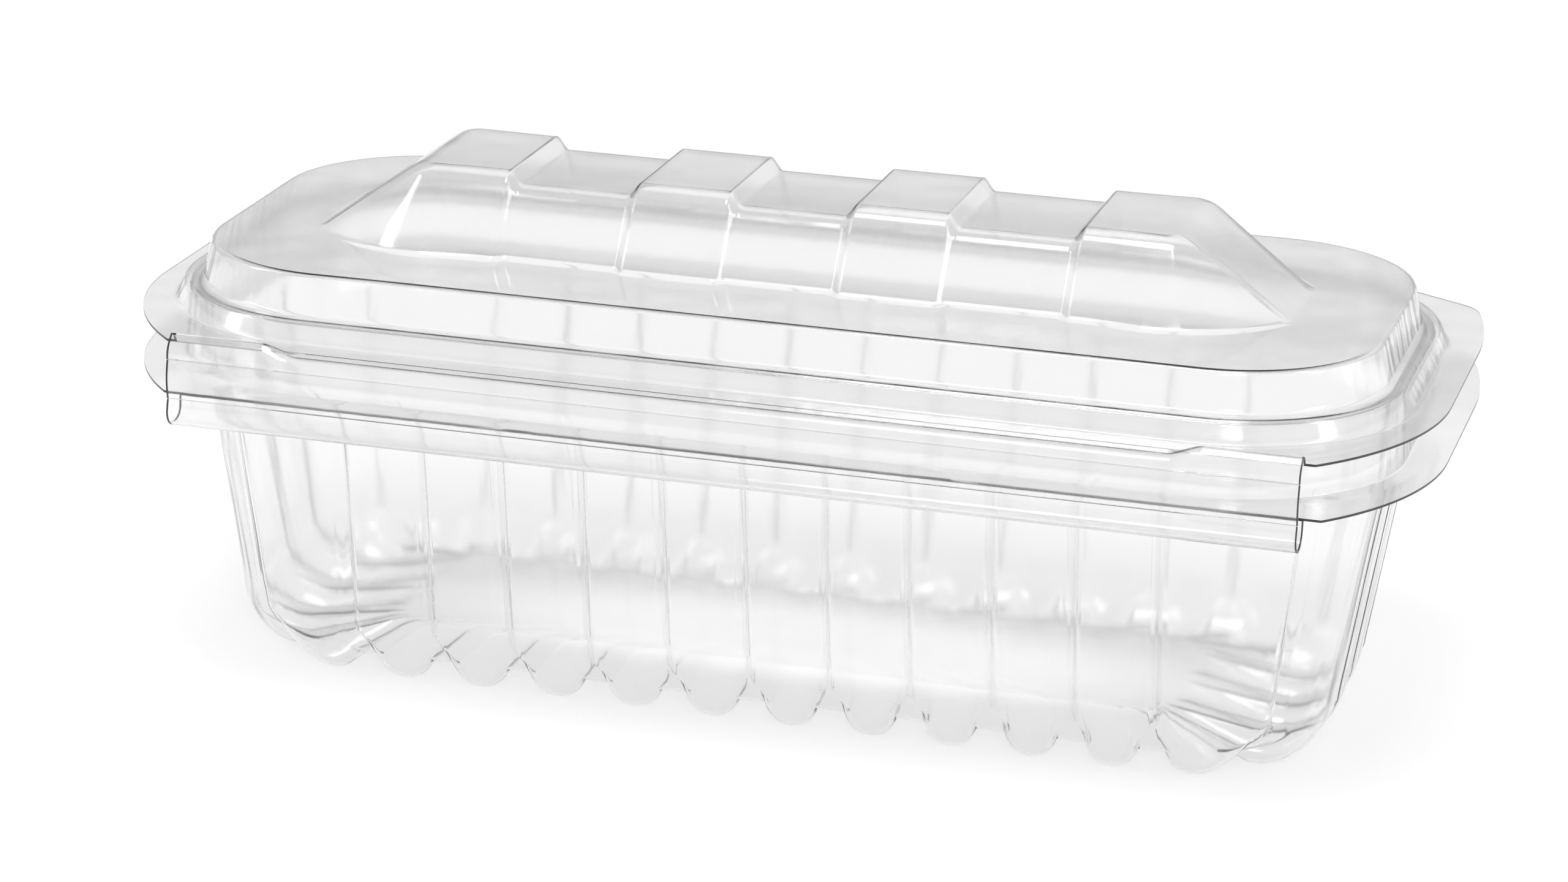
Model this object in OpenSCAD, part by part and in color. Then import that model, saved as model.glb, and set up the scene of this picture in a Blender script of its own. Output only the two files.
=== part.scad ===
// Clear hinged food tray, formed from one sheet: a fluted base, a hinge strip with two folds, and a lid.
// The lid is closed, the hinge side faces -Y, and the feet stand on Z = 0. Lengths are in millimetres.

/* [Sheet] */
// Thickness of the formed sheet
sheet_t = 0.45; // [0.35:0.05:0.55]

/* [Flange] */
// How much longer the flange is than the deck
flange_margin = 24.2; // [22:0.2:28]
// Radius of the large flange corners beside the hinge
flange_corner_r = 59; // [56:1:62]
// How far the flange reaches past the deck opposite the hinge
back_margin = 16.7; // [15.7:0.1:18]

/* [Base tray] */
// Distance between neighbouring flutes of the wall
flute_pitch = 15.3; // [15:0.1:15.6]
// Height of the base flange above the feet
base_flange_z = 58.5; // [54:0.5:64]
// Height of the raised floor panel above the feet
floor_z = 6.5; // [5.5:0.25:8]
// Height of the groove bottoms between the feet
groove_z = 3.9; // [3.4:0.1:4.4]
// Depth of the grooves between the flutes
groove_depth = 1.2; // [0.8:0.1:1.6]
// Height at which the wall bends into the feet
elbow_z = 13; // [11:0.5:15]
// Offset of the foot line from the core rectangle of the base
foot_offset = 16.6; // [15.5:0.1:17.5]
// Offset of the long walls above the bend
wall_low_offset = 23; // [22:0.1:24]
// Offset of the long walls below the flange
wall_top_offset = 30.3; // [29.5:0.1:31]
// How much further out the end walls lie than the long walls
end_stretch = 5.4; // [4.4:0.1:6]
// Radius of the round underside of each foot
lobe_r = 5.1; // [4.6:0.1:5.6]

/* [Hinge] */
// How much shorter the hinge is than the flange
hinge_inset = 38; // [37:1:44]
// How far the outer face of the hinge lies past the deck
fold_margin = 16.2; // [15.7:0.1:17.2]
// Distance between the two folds
strip_h = 7.4; // [7:0.1:8]
// How far the strip bulges outward
strip_bulge = 0.5; // [0.2:0.1:0.8]
// Depth of the gutter under the base flange, from the lower fold
gutter_depth = 5.7; // [5.2:0.1:6.2]
// Drop from the lid flange to the upper fold
bead_h = 2.4; // [2.2:0.1:2.8]
// Length of the raised lug at each end of the hinge
lug_l = 24; // [18:1:30]

/* [Lid] */
// How much longer the deck is than the row of flutes along a long side
deck_margin_l = 67.8; // [66.6:0.2:69]
// How much wider the deck is than the row of flutes along an end
deck_margin_w = 60; // [59:0.2:61]
// Corner radius of the deck
deck_r = 28; // [26:0.5:30]
// Height of the step that sits over the rim of the base
skirt_h = 4; // [3.6:0.1:4.6]
// Height of the wall between the ledge and the deck
wall_h = 7.4; // [6.5:0.1:8.5]
// Gap between the rim of the base and the ledge of the lid
rim_gap = 0.4; // [0.35:0.05:0.7]

/* [Ridge] */
// Length of the ridge where it leaves the deck
ridge_l = 184; // [180:1:188]
// Width of the ridge where it leaves the deck
ridge_w = 49.6; // [47:0.2:52]
// Height of the ridge above the deck
ridge_h = 14.5; // [12:0.5:17]
// Length of the ridge along its top
ridge_top_l = 145; // [142:1:148]
// Width of the ridge along its top
ridge_top_w = 30.6; // [29:0.2:32]
// How far the recesses lie below the blocks
recess_drop = 2.4; // [1.6:0.1:3.2]
// How far the side walls of the recesses lie behind those of the blocks
recess_in = 1.5; // [0.8:0.1:2.2]
// Half length of the middle recess
recess_half = 10.9; // [9.5:0.1:12]
// Length of each of the two inner blocks
block_l = 19.4; // [18:0.1:21]
// Length of each of the two outer recesses
recess_l = 23.1; // [21:0.1:24.5]

/* [Hidden] */

clear_pale = [0.86, 0.88, 0.89, 0.45];

// Lengths that follow from the flutes: the lid covers the base and the flanges surround it
long_flutes = 10;
end_flutes = 2;
corner_flutes = 2;
deck_l = long_flutes * flute_pitch + deck_margin_l;
deck_w = end_flutes * flute_pitch + deck_margin_w;
flange_l = deck_l + flange_margin;
flange_back = deck_w / 2 + back_margin;
fold_y = deck_w / 2 + fold_margin;
hinge_l = flange_l - hinge_inset;

// Levels
fold_rise = 1;
fold_gap = 0.1;
low_fold_z = base_flange_z + fold_rise;
top_fold_z = low_fold_z + strip_h;
lid_flange_z = top_fold_z + bead_h;
ledge_z = lid_flange_z + skirt_h;
deck_z = ledge_z + wall_h;
ridge_z = deck_z + ridge_h;
rim_z = ledge_z - 2 * sheet_t - rim_gap;

// Core rectangles: every outline is one of these, grown outward by an offset
base_core = [long_flutes * flute_pitch / 2, end_flutes * flute_pitch / 2];
lid_core = [deck_l / 2 - deck_r, deck_w / 2 - deck_r];
foot_inset_x = 1.5;
floor_inset_x = 6;
foot_core = base_core - [foot_inset_x, 0];
floor_core = base_core - [floor_inset_x, 0];

// Edge of both flanges: a large arc beside the hinge, a straight end and a stepped back corner
flange_x = flange_l / 2;
side_front = 15;
side_back = 20;
side_arc_r = 100;
side_arc_turn = 15;
tab_arc_r = 8;
tab_turn = 60;
fillet_r = 12;
fillet_turn = 90 - tab_turn;
side_arc_c = [flange_x - side_arc_r, side_back];
tab_arc_c = side_arc_c + (side_arc_r - tab_arc_r) * [cos(side_arc_turn), sin(side_arc_turn)];
tab_end = tab_arc_c + tab_arc_r * [cos(tab_turn), sin(tab_turn)];
fillet_y = flange_back - fillet_r * (1 - cos(fillet_turn));
fillet_x = tab_end[0] - (fillet_y - tab_end[1]) / tan(fillet_turn);
side_share = 0.3;
tab_share = 0.6;

// Hinge side of each flange: where its flat plate stops
gutter_r = 3.2;
gutter_in = fold_y - 2 * gutter_r;
base_front = gutter_in + sheet_t / 2;
bead_w = 4.8;
lid_front = fold_y - bead_w;
weld = 0.04;

function mix(a, b, k) = a + (b - a) * k;
function cat(lists) = [for (part = lists, item = part) item];
function unit(v) = v / norm(v);

// A stop is a place on every outline: [core x, core y, normal angle, flute phase, side, zone, fraction].
// Zones: 0 hinge side, 1 corner beside the hinge, 2 end, 3 back corner, 4 back.
// Each argument lists [fraction, phase] along a long side, a corner or an end.
function stops(long_s, corner_s, end_s) = cat([
    [for (s = long_s) [2 * s[0] - 1, -1, -90, s[1], 1, 0, 2 * s[0] - 1]],
    [for (s = corner_s) [1, -1, 90 * s[0] - 90, s[1], 1, 1, s[0]]],
    [for (s = end_s) [1, 2 * s[0] - 1, 0, s[1], 1, 2, 2 * s[0] - 1]],
    [for (s = corner_s) [1, 1, 90 * s[0], s[1], 1, 3, s[0]]],
    [for (s = long_s) [1 - 2 * s[0], 1, 90, s[1], -1, 4, 1 - 2 * s[0]]],
    [for (s = corner_s) [-1, 1, 90 + 90 * s[0], s[1], -1, 3, 1 - s[0]]],
    [for (s = end_s) [-1, 1 - 2 * s[0], 180, s[1], -1, 2, 1 - 2 * s[0]]],
    [for (s = corner_s) [-1, -1, 180 + 90 * s[0], s[1], -1, 1, 1 - s[0]]]
]);

function even_steps(n, phases = [0]) = [for (i = [0 : n - 1], p = phases) [(i + p) / n, p]];

function heading(s) = [cos(s[2]), sin(s[2])];
function grown(s, core, offset) = [s[0] * core[0], s[1] * core[1]] + offset * heading(s);

// Angle of the large corner arc at which it reaches the hinge side of a plate
function corner_angle(front) = asin((front - side_front) / flange_corner_r);

function back_corner(f) =
    f <= side_share
        ? let (a = side_arc_turn * f / side_share)
            side_arc_c + side_arc_r * [cos(a), sin(a)]
    : f <= tab_share
        ? let (a = mix(side_arc_turn, tab_turn, (f - side_share) / (tab_share - side_share)))
            tab_arc_c + tab_arc_r * [cos(a), sin(a)]
        : let (a = fillet_turn * (1 - f) / (1 - tab_share))
            [fillet_x - fillet_r * (sin(fillet_turn) - sin(a)), flange_back - fillet_r * (1 - cos(a))];

function flange_edge(s, front) =
    let (
        zone = s[5],
        f = s[6],
        turn = corner_angle(front),
        a = turn * (1 - f),
        arc_x = flange_x - flange_corner_r
    )
    zone == 0 ? [f * (arc_x + flange_corner_r * cos(turn)), -front]
    : zone == 1 ? [s[4] * (arc_x + flange_corner_r * cos(a)), -side_front - flange_corner_r * sin(a)]
    : zone == 2 ? [s[4] * flange_x, mix(-side_front, side_back, (f + 1) / 2)]
    : zone == 3 ? [s[4] * back_corner(f)[0], back_corner(f)[1]]
    : [f * back_corner(1)[0], flange_back];

// Closes two stacks of rings, its lower and upper side, into a thin sheet.
// The cap joins the first rings across the middle.
module sheet(lower, upper, cap) {
    n = len(lower[0]);
    rings = len(lower);
    half = n * rings;
    points = concat(cat(lower), cat(upper), cap[0]);
    skin = [for (r = [0 : rings - 2], i = [0 : n - 1]) let (j = (i + 1) % n)
        each [[r * n + i, r * n + j, (r + 1) * n + j], [r * n + i, (r + 1) * n + j, (r + 1) * n + i]]];
    edge = [for (i = [0 : n - 1]) let (j = (i + 1) % n, k = (rings - 1) * n)
        each [[k + i, k + j, half + k + j], [k + i, half + k + j, half + k + i]]];
    flipped = [for (t = skin) [t[0] + half, t[2] + half, t[1] + half]];
    polyhedron(points, [for (t = concat(skin, flipped, edge, cap[1])) [t[2], t[1], t[0]]]);
}

// Base tray

// Stops of one flute, as shares of its width: groove, shoulder, foot side, foot flank and crown
flute_shoulder = 0.05;
foot_side = 0.18;
foot_flank = 0.28;
crown = 0.5;
flute_phases = [
    0, flute_shoulder, foot_side, foot_flank, crown,
    1 - foot_flank, 1 - foot_side, 1 - flute_shoulder
];
base_stops = stops(
    even_steps(long_flutes, flute_phases),
    even_steps(corner_flutes, flute_phases),
    even_steps(end_flutes, flute_phases)
);

// How far a stop lies out of its groove: nearly flat panels on the wall, round lobes on the feet
panel_flatness = 0.9;

function wall_fullness(p) = p == 0 ? 0 : mix(panel_flatness, 1, sin(180 * p));
function lobe_rise(x) = lobe_r - sqrt(max(0, lobe_r * lobe_r - x * x));
function foot_fullness(p) = max(0, 1 - lobe_rise((p - crown) * flute_pitch) / groove_z);
function fullness(p, foot) = mix(wall_fullness(p), foot_fullness(p), foot);

floor_offset = 5;
foot_stretch = 1.5;
low_stretch = end_stretch + 1;
foot_shares = [[90, 1], [60, 1], [30, 0.3], [0, 0]];
flute_fade = 4;
flute_top_z = base_flange_z - flute_fade;

function elbow(a, depth, low) =
    [mix(foot_offset, wall_low_offset - depth, cos(a)), mix(low, elbow_z, 1 - sin(a))];

// Rim that stands up inside the step of the lid: offsets beyond the deck edge
rim_in = 2;
rim_top_in = 2.3;
rim_top_out = 3.4;
rim_foot = 4.4;
rim_base_rise = 1;

// Section of the base from the floor to the flange.
// Each row: [core, place in a groove, place on a flute, share of the foot form, stretch toward the ends].
base_section = concat(
    [[floor_core, [floor_offset, floor_z], [floor_offset, floor_z], 1, 0]],
    [for (foot = foot_shares) let (a = foot[0])
        [mix(foot_core, base_core, cos(a)), elbow(a, groove_depth, groove_z), elbow(a, 0, 0),
            foot[1], mix(foot_stretch, low_stretch, cos(a))]],
    [[base_core, [wall_top_offset - groove_depth, flute_top_z], [wall_top_offset, flute_top_z],
        0, end_stretch]],
    [for (p = [
        [deck_r + rim_in, base_flange_z + rim_base_rise],
        [deck_r + rim_top_in, rim_z],
        [deck_r + rim_top_out, rim_z],
        [deck_r + rim_foot, base_flange_z]
    ]) [lid_core, p, p, 0, 0]]
);

function base_place(k, s) = mix(base_section[k][1], base_section[k][2], fullness(s[3], base_section[k][3]));

// Normal of the section on its food side
function base_normal(k, s) =
    k == 0 ? [0, 1]
    : let (
        last = len(base_section) - 1,
        before = base_place(k - 1, s),
        after = k == last ? base_place(k, s) + [1, 0] : base_place(k + 1, s),
        along = unit(unit(base_place(k, s) - before) + unit(after - base_place(k, s)))
    )
    [-along[1], along[0]];

function base_rings(lift) = concat(
    [for (k = [0 : len(base_section) - 1])
        [for (s = base_stops)
            let (
                p = base_place(k, s) + lift * base_normal(k, s),
                q = grown(s, base_section[k][0], p[0]) + [base_section[k][4] * heading(s)[0], 0]
            )
            [q[0], q[1], p[1]]]],
    [[for (s = base_stops) let (q = flange_edge(s, base_front)) [q[0], q[1], base_flange_z + lift]]]
);

function centre_cap(n, rings) =
    let (half = n * rings)
    [
        [[0, 0, floor_z], [0, 0, floor_z + sheet_t]],
        cat([for (i = [0 : n - 1]) let (j = (i + 1) % n)
            [[2 * half, j, i], [2 * half + 1, half + i, half + j]]])
    ];

module tray_shell() {
    sheet(base_rings(0), base_rings(sheet_t), centre_cap(len(base_stops), len(base_section) + 1));
}

// A formed lip along the hinge: its section is swept from end to end and swells into a lug near both ends
lug_taper = 3;
lug_bulge = 0.5;

function lug_at(x) = min(1, max(0, (abs(x) - hinge_l / 2 + lug_l) / lug_taper));

lip_stations = let (e = hinge_l / 2, a = e - lug_l, b = e - lug_l + lug_taper)
    [-e, -(a + b) / 2 - lug_taper, -(a + b) / 2, -a, a, (a + b) / 2, (a + b) / 2 + lug_taper, e];

module lip(section) {
    m = len(section(0));
    last = len(lip_stations) - 1;
    points = [for (x = lip_stations, p = section(lug_at(x))) [x, p[0], p[1]]];
    side = [for (k = [0 : last - 1], i = [0 : m - 1]) let (j = (i + 1) % m)
        each [[k * m + i, k * m + j, (k + 1) * m + j], [k * m + i, (k + 1) * m + j, (k + 1) * m + i]]];
    half = m / 2;
    strip = [for (i = [0 : half - 2]) each [[i, m - 1 - i, i + 1], [i + 1, m - 1 - i, m - 2 - i]]];
    ends = concat(strip, [for (t = strip) [t[2] + last * m, t[1] + last * m, t[0] + last * m]]);
    polyhedron(points, concat(side, ends));
}

arc_steps = 6;

// Gutter section: down from the lower fold, round the bottom and up to the flange plate
function gutter_path(grow, lug) =
    let (r = gutter_r - grow, c = [-fold_y + gutter_r, low_fold_z - gutter_depth + gutter_r])
    concat(
        [[c[0] - r, low_fold_z - fold_gap / 2]],
        [for (i = [0 : arc_steps]) let (a = 180 + 180 * i / arc_steps)
            c + r * [cos(a), sin(a)] - [lug_bulge * lug * max(0, -cos(a)), 0]],
        [[c[0] + r, base_flange_z + sheet_t - weld]]
    );

function closed_section(near, far) = concat(near, [for (i = [len(far) - 1 : -1 : 0]) far[i]]);

module gutter() {
    lip(function (lug) closed_section(gutter_path(sheet_t, lug), gutter_path(0, lug)));
}

module base_tray() {
    color(clear_pale) union() {
        tray_shell();
        gutter();
    }
}

// Hinge strip: a slightly bulged band between the folds

strip_steps = 6;

module hinge_strip() {
    z0 = low_fold_z + fold_gap / 2;
    z1 = top_fold_z - fold_gap / 2;
    bow = [for (i = [0 : strip_steps]) let (k = i / strip_steps)
        [-fold_y - strip_bulge * sin(180 * k), mix(z0, z1, k)]];
    outline = closed_section(bow, [for (p = bow) p + [sheet_t, 0]]);
    color(clear_pale)
        translate([-hinge_l / 2, 0, 0])
            rotate([90, 0, 90])
                linear_extrude(height = hinge_l)
                    polygon(outline);
}

// Lid

// Bead section: the flange plate bends down to the upper fold and swells upward at the lugs
bead_reach = 0.5;
lug_rise = 2;
lug_root = 0.6;
lug_lean = 0.3;

function bead_path(sink, lug) =
    let (
        r = bead_h - fold_gap / 2,
        top = lid_flange_z - weld - (sink > 0 ? sink - 2 * weld : 0),
        c = [-fold_y + r, top - r + (sink > 0 ? sink - 2 * weld : 0)],
        swell = function (a) lug * [-lug_lean * sin(2 * a), lug_rise * (1 - sin(a))]
    )
    concat(
        [[-lid_front + bead_reach, top], [-lid_front - bead_reach, top + lug * lug_rise * lug_root]],
        [for (i = [0 : arc_steps]) let (a = 90 * i / arc_steps)
            c + (r - sink) * [-sin(a), cos(a)] + swell(a)]
    );

module bead() {
    lip(function (lug) closed_section(bead_path(sheet_t, lug), bead_path(0, lug)));
}

// Places along the ridge, from one end to the other: step edges of the blocks, with short slopes between
step_run = 2;
step_edges = [recess_half, recess_half + block_l, recess_half + block_l + recess_l];
half_steps = cat([for (e = step_edges) [e - step_run / 2, e + step_run / 2]]);
ridge_places = concat([for (i = [len(half_steps) - 1 : -1 : 0]) -half_steps[i]], half_steps);

// How far the top lies down at each place: the middle and outer recesses are low, the blocks are full height
function recessed(x) =
    let (d = abs(x))
    d < step_edges[0] || (d > step_edges[1] && d < step_edges[2]) ? 1 : 0;

corner_steps = 9;
lid_end_steps = 2;
lid_long = concat([[0, 0]], [for (x = ridge_places) [(1 + x / lid_core[0]) / 2, 0]]);
lid_stops = stops(lid_long, even_steps(corner_steps), even_steps(lid_end_steps));

// Foot of the ridge on the deck: straight, a little wider at the end blocks, then an arc to a straight end
foot_flare = 1.7;
foot_straight = 68;
foot_r = 27;
foot_turn = asin((ridge_l / 2 - foot_straight) / foot_r);
foot_half = ridge_w / 2 + foot_flare;
foot_end_half = foot_half - foot_r * (1 - cos(foot_turn));

function ridge_foot(s) =
    let (
        zone = s[5],
        y_side = s[1] < 0 ? -1 : 1,
        turn = foot_turn * (zone == 1 ? s[6] : 1 - s[6]),
        arc = [foot_straight + foot_r * sin(turn), foot_half - foot_r * (1 - cos(turn))],
        at_end = abs(s[0]) == 1,
        x = s[0] * (at_end ? foot_straight : lid_core[0]),
        half = at_end ? foot_half : ridge_w / 2 - recess_in * recessed(x)
    )
    zone == 0 || zone == 4 ? [x, y_side * half]
    : zone == 2 ? [s[4] * ridge_l / 2, s[6] * foot_end_half]
    : [s[4] * arc[0], y_side * arc[1]];

// Top edge of the ridge, with small rounded corners
top_corner_r = 2.5;

function ridge_top(s, inset) =
    let (
        zone = s[5],
        w = ridge_top_w / 2 - inset,
        l = ridge_top_l / 2 - inset,
        r = top_corner_r,
        x = s[0] * (abs(s[0]) == 1 ? l - r : lid_core[0]),
        low = (zone == 0 || zone == 4) && abs(s[0]) < 1 ? recessed(s[0] * lid_core[0]) : 0,
        xy = zone == 0 || zone == 4 ? [x, s[1] * w]
            : zone == 2 ? [s[4] * l, s[6] * (w - r)]
            : [s[0] * (l - r), s[1] * (w - r)] + r * heading(s)
    )
    [xy[0], xy[1], ridge_z - low * recess_drop];

// Section of the lid from the deck to the flange: [offset, height]
deck_chamfer = 0.8;
step_chamfer = 0.5;
wall_in = 1.2;
ledge_out = 4.5;
skirt_out = 6.4;
lid_section = [
    [deck_r - deck_chamfer, deck_z],
    [deck_r, deck_z - deck_chamfer],
    [deck_r + wall_in, ledge_z + step_chamfer],
    [deck_r + wall_in + step_chamfer, ledge_z],
    [deck_r + ledge_out, ledge_z],
    [deck_r + ledge_out + step_chamfer, ledge_z - step_chamfer],
    [deck_r + skirt_out, lid_flange_z + step_chamfer],
    [deck_r + skirt_out + step_chamfer, lid_flange_z]
];

// Normal of the lid section on its upper side
function lid_normal(k) =
    let (
        last = len(lid_section) - 1,
        before = k == 0 ? lid_section[0] - [1, 0] : lid_section[k - 1],
        after = k == last ? lid_section[k] + [1, 0] : lid_section[k + 1],
        along = unit(unit(lid_section[k] - before) + unit(after - lid_section[k]))
    )
    [-along[1], along[0]];

foot_inset = 0.7;

function lid_rings(sink) = concat(
    [
        [for (s = lid_stops) let (p = ridge_top(s, sink)) [p[0], p[1], p[2] - sink]],
        [for (s = lid_stops)
            let (p = ridge_foot(s) - foot_inset * sink * heading(s))
            [p[0], p[1], deck_z - sink]]
    ],
    [for (k = [0 : len(lid_section) - 1])
        [for (s = lid_stops)
            let (p = lid_section[k] - sink * lid_normal(k), q = grown(s, lid_core, p[0]))
            [q[0], q[1], p[1]]]],
    [[for (s = lid_stops) let (q = flange_edge(s, lid_front)) [q[0], q[1], lid_flange_z - sink]]]
);

// The top of the ridge joins places that face each other across it; its ends are small fans
module lid_shell() {
    n = len(lid_stops);
    rings = len(lid_rings(0));
    f = len(lid_long);
    turn = 2 * corner_steps + lid_end_steps;
    mate = function (i) (2 * f + turn - i) % n;
    across = [for (i = [0 : f - 1]) each [[i, mate(i), i + 1], [i + 1, mate(i), mate(i + 1)]]];
    fan = function (root) [for (i = [1 : turn - 1]) [root, (root + i + 1) % n, (root + i) % n]];
    below = concat(across, fan(f), fan(2 * f + turn));
    above = [for (t = below) [t[0], t[2], t[1]] + n * rings * [1, 1, 1]];
    sheet(lid_rings(sheet_t), lid_rings(0), [[], concat(below, above)]);
}

module lid() {
    color(clear_pale) union() {
        lid_shell();
        bead();
    }
}

base_tray();
hinge_strip();
lid();
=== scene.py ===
# %% [markdown]
# # A clear hinged food tray
# The tray is one thin sheet of clear plastic: a fluted base, a hinge strip with two folds, and a lid.
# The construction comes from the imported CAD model. This lesson gives each of its three pieces a smooth,
# rounded skin of the same form, a clear material and a bright studio.
# Lengths of the tray are in millimetres until a mesh is made. The studio is in metres.

# %%
import math

import bpy
import numpy as np
from mathutils import Matrix, Vector


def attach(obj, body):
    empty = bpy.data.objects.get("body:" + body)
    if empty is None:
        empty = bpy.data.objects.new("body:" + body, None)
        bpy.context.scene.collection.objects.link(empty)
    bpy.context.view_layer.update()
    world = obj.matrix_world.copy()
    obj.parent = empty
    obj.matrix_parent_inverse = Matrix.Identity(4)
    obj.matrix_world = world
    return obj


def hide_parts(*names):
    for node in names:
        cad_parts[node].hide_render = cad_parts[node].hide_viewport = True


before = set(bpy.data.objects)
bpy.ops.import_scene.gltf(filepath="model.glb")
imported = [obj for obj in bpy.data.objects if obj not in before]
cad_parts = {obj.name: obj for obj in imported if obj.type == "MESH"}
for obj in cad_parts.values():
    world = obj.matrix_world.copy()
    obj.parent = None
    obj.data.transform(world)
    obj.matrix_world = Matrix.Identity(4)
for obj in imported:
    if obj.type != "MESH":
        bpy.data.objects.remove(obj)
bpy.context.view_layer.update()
print("CAD nodes:", sorted(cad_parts))

# %% [markdown]
# ## Sizes
# These are the sizes of the CAD model. The same few numbers place every curve, so the skins cannot
# drift away from the solids that they stand for.

# %%
SHEET = 0.45
FLUTES_LONG, FLUTES_END, FLUTES_CORNER = 10, 2, 2
PITCH, LOBE_R, GROOVE_Z, GROOVE_DEPTH = 15.3, 5.1, 3.9, 1.2
FLOOR_Z, ELBOW_Z, BASE_Z = 6.5, 13.0, 58.5
LID_Z, LEDGE_Z, DECK_Z, RIDGE_Z = 69.3, 73.3, 80.7, 95.2
DECK_HALF, DECK_R = np.array([110.4, 45.3]), 28.0
FLANGE_X, FLANGE_BACK, CORNER_R, SIDE_FRONT = 122.5, 62.0, 59.0, 15.0
FOLD_Y, LOW_FOLD, HINGE_X = 61.5, 59.5, 103.5
GUTTER_W, BEAD_W = 6.4, 4.8
RIM_GAP = 0.4
RIM_Z = LEDGE_Z - 2 * SHEET - RIM_GAP
BASE_CORE = PITCH / 2 * np.array([FLUTES_LONG, FLUTES_END])
LID_CORE = DECK_HALF - DECK_R
print("base core:", BASE_CORE, "lid core:", LID_CORE, "rim height:", round(RIM_Z, 2))


# %%
def linear(hex_colour):
    """An sRGB hex colour as the linear colour that a shader takes."""
    parts = [int(hex_colour[i : i + 2], 16) / 255 for i in (1, 3, 5)]
    return [c / 12.92 if c <= 0.04045 else ((c + 0.055) / 1.055) ** 2.4 for c in parts] + [1.0]


def set_up(node, settings):
    """Sets a node's own settings, or constants on its sockets, by name."""
    for name, value in settings.items():
        if hasattr(node, name):
            setattr(node, name, value)
        else:
            node.inputs[name.replace("_", " ").title().replace("Ior", "IOR")].default_value = value


def add(tree, kind, **settings):
    """One new node with its settings."""
    node = tree.nodes.new(kind)
    set_up(node, settings)
    return node


def join(tree, *pairs):
    """Links each pair of an output and an input."""
    for output, socket in pairs:
        tree.links.new(output, socket)


def eased(k):
    """A share from 0 to 1 with a soft start and a soft end."""
    k = np.clip(k, 0, 1)
    return k * k * (3 - 2 * k)


print("mid grey as a linear colour:", round(linear("#808080")[0], 3))

# %% [markdown]
# ## One walk round the tray
# Each outline of the tray, from the feet to the lid's deck, is a rounded rectangle: a core rectangle
# grown outward. So one list of stops round the tray serves them all. A stop knows its place on the core,
# the direction outward, its zone and side of the tray, and how far it is along that zone.
# Sweeping a section along a curve would also work, but the corners of the outlines differ from level to
# level, and stops let each level have its own.

# %%
HINGE_SIDE, FRONT_CORNER, END, BACK_CORNER, BACK_SIDE = range(5)
ZONES = [(HINGE_SIDE, 1), (FRONT_CORNER, 1), (END, 1), (BACK_CORNER, 1)]
ZONES += [(BACK_SIDE, -1), (BACK_CORNER, -1), (END, -1), (FRONT_CORNER, -1)]
CORNER_STARTS = {(FRONT_CORNER, 1): -90, (BACK_CORNER, 1): 0, (BACK_CORNER, -1): 90, (FRONT_CORNER, -1): 180}


def stop_at(zone, side, f):
    """The stop at fraction f of a zone: place on the core, direction in degrees, and place along the zone."""
    along = 2 * f - 1
    if zone == HINGE_SIDE:
        return along, -1, -90, along
    if zone == BACK_SIDE:
        return -along, 1, 90, -along
    if zone == END:
        return side, side * along, 0 if side > 0 else 180, side * along
    core_y = -1 if zone == FRONT_CORNER else 1
    return side, core_y, CORNER_STARTS[zone, side] + 90 * f, f if side > 0 else 1 - f


def walk(long_f, corner_f, end_f):
    """All stops round the tray, as arrays."""
    fractions = {HINGE_SIDE: long_f, BACK_SIDE: long_f, END: end_f}
    fractions |= {FRONT_CORNER: corner_f, BACK_CORNER: corner_f}
    rows = [(*stop_at(zone, side, f), zone, side) for zone, side in ZONES for f in fractions[zone]]
    table = np.array(rows, float)
    turn = np.radians(table[:, 2])
    return {
        "core": table[:, :2],
        "out": np.stack([np.cos(turn), np.sin(turn)], 1),
        "along": table[:, 3],
        "zone": table[:, 4].astype(int),
        "side": table[:, 5],
    }


def grown(stops, core, offset):
    """The outline that lies an offset outside a core rectangle."""
    return stops["core"] * core + offset * stops["out"]


def at_height(flat, z):
    """Flat points lifted to one height."""
    return np.column_stack([flat, np.full(len(flat), z)])


print("stops of a coarse walk:", len(walk([0, 0.5], [0], [0])["zone"]))

# %% [markdown]
# The flanges have an outline of their own. At the back, each corner is drawn in: a flat arc along the side,
# a small round, a straight slant, and a wider round that leads to the straight back edge.

# %%
SIDE_ARC_R, SIDE_ARC_Y, SIDE_ARC_DEG = 100.0, 20.0, 15.0
TAB_R, TAB_DEG = 8.0, 60.0
ROUND_R, ROUND_DEG = 12.0, 30.0
SIDE_PART, TAB_PART, ROUND_PART = 0.3, 0.3, 0.4


def arc(centre, radius, degrees):
    """A point on an arc."""
    turn = np.radians(degrees)
    return np.array([centre[0] + radius * math.cos(turn), centre[1] + radius * math.sin(turn)])


SIDE_ARC_C = np.array([FLANGE_X - SIDE_ARC_R, SIDE_ARC_Y])
TAB_C = arc(SIDE_ARC_C, SIDE_ARC_R - TAB_R, SIDE_ARC_DEG)
TAB_END = arc(TAB_C, TAB_R, TAB_DEG)
ROUND_C = np.array([0.0, FLANGE_BACK - ROUND_R])
round_start_y = arc(ROUND_C, ROUND_R, 90 - ROUND_DEG)[1]
round_start_x = TAB_END[0] - (round_start_y - TAB_END[1]) / math.tan(math.radians(ROUND_DEG))
ROUND_C[0] = round_start_x - ROUND_R * math.sin(math.radians(ROUND_DEG))


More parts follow.
